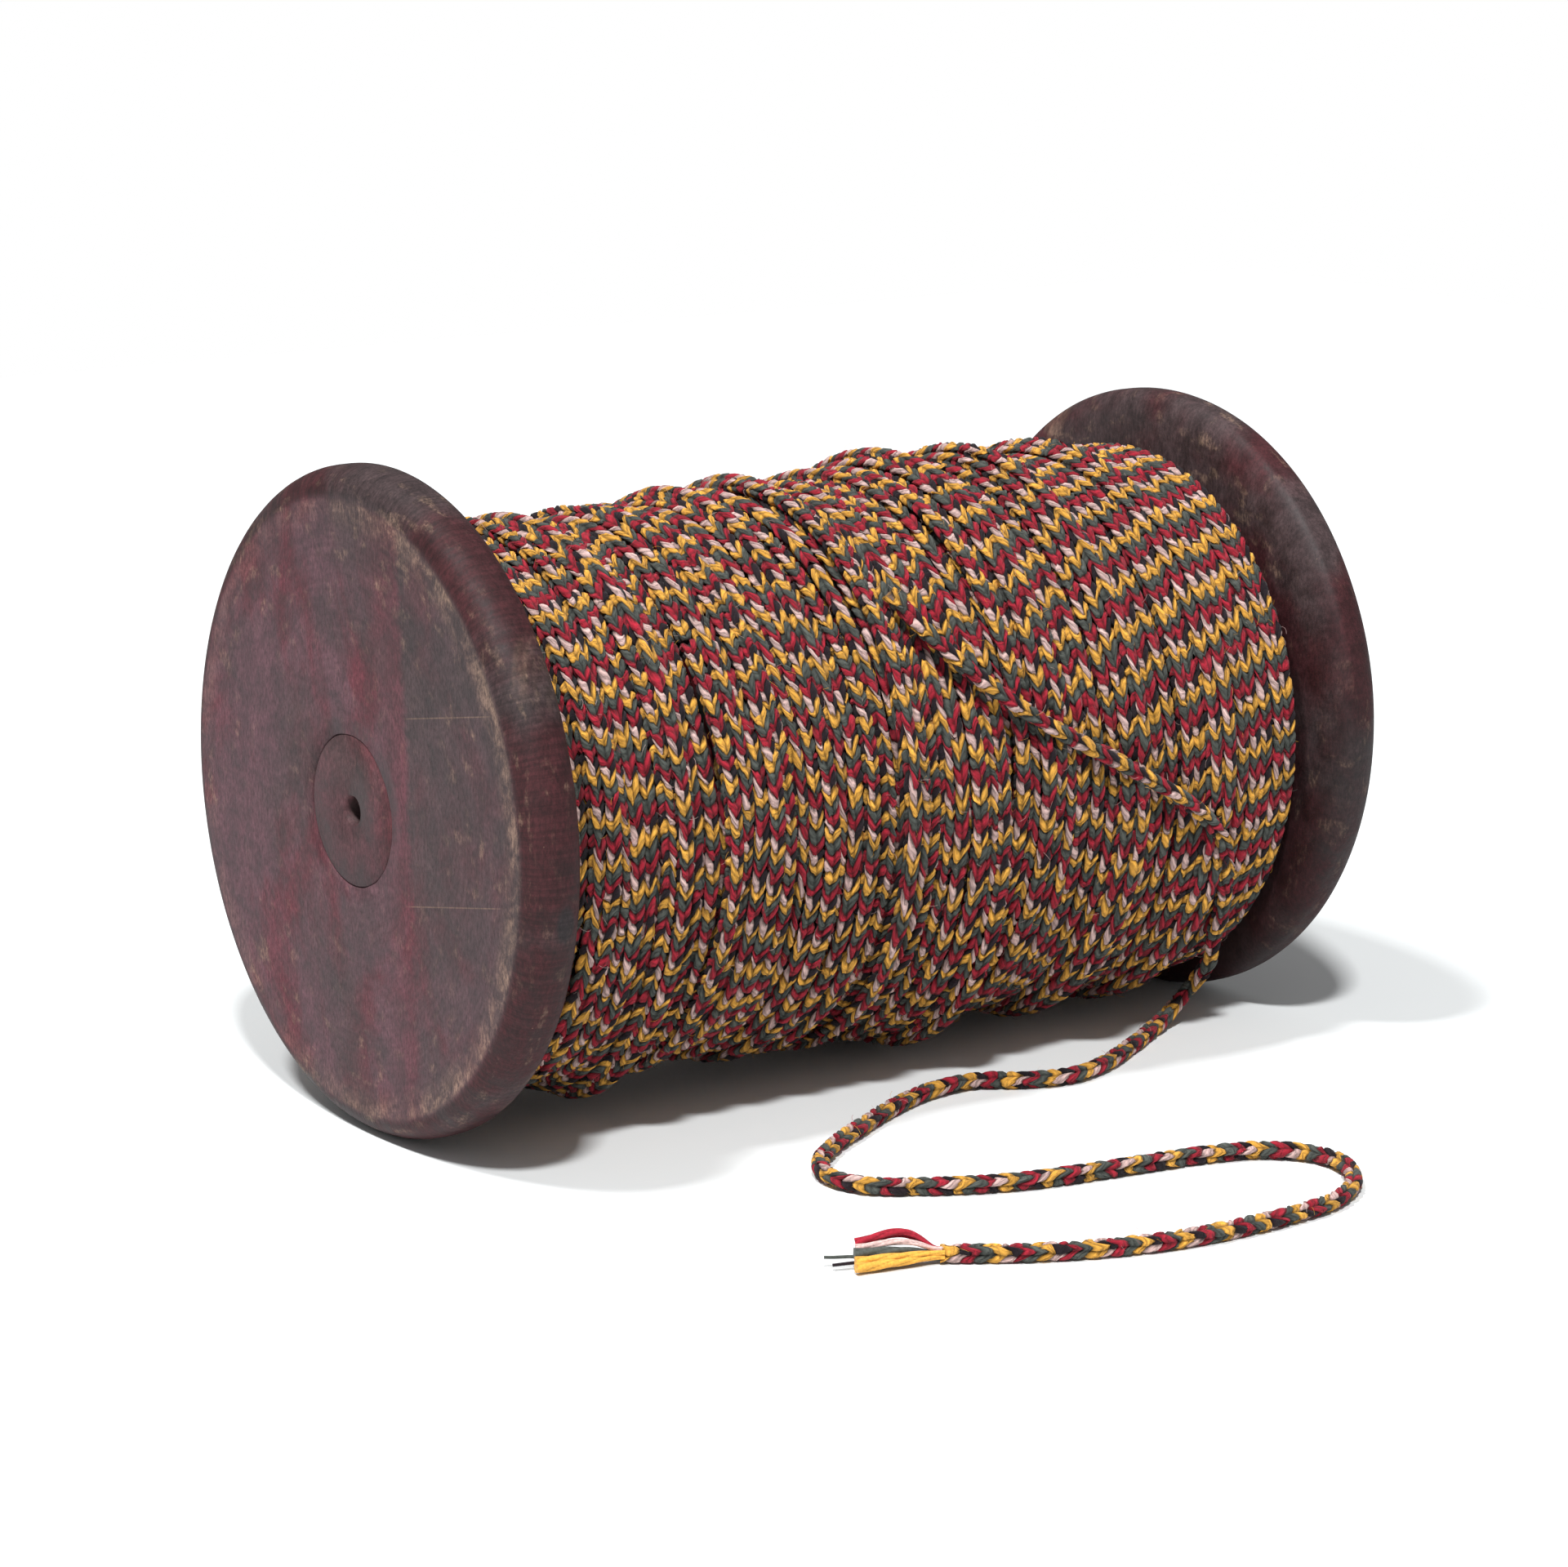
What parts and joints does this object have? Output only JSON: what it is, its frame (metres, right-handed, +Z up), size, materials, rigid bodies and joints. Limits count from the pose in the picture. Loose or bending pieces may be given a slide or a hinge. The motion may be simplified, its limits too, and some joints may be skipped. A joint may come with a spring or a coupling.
{
  "type": "wound cord bobbin",
  "caption": "Turned wooden bobbin with two round flanges, wound full with multicolour braided cord whose loose end lies in front and is frayed at its tip.",
  "frame": {"origin": "on the surface that the flanges stand on, below the middle of the bobbin's axis", "axes": "+X along the bobbin's axis towards the far flange, -Y towards the loose end of the cord, +Z up"},
  "size_m": [0.144, 0.1477, 0.0899],
  "materials": {
    "stained_wood": "matte stained, worn along the rim",
    "barrel_wood": "matte stained",
    "braided_cord": "eight-yarn braid in yellow, red, grey-green, pink and black",
    "yarn_yellow": "soft plied yarn",
    "yarn_pink": "soft plied yarn",
    "yarn_red": "soft plied yarn",
    "yarn_black": "soft plied yarn",
    "yarn_green": "soft plied yarn"
  },
  "bodies": {
    "root": {"near_flange": "stained_wood", "far_flange": "stained_wood", "barrel": "barrel_wood", "cord_layer_1": "braided_cord", "cord_layer_2": "braided_cord", "cord_layer_3": "braided_cord", "cord_layer_4": "braided_cord", "cord_layer_5": "braided_cord", "cord_layer_6": "braided_cord", "cord_layer_7": "braided_cord", "cord_layer_8": "braided_cord", "cord_layer_9": "braided_cord", "loose_cord": "braided_cord", "yarn_end_yellow_1": "yarn_yellow", "yarn_end_yellow_2": "yarn_yellow", "yarn_end_pink": "yarn_pink", "yarn_end_red_1": "yarn_red", "yarn_end_red_2": "yarn_red", "yarn_end_black": "yarn_black", "yarn_end_green_1": "yarn_green", "yarn_end_green_2": "yarn_green"}
  },
  "joints": []
}
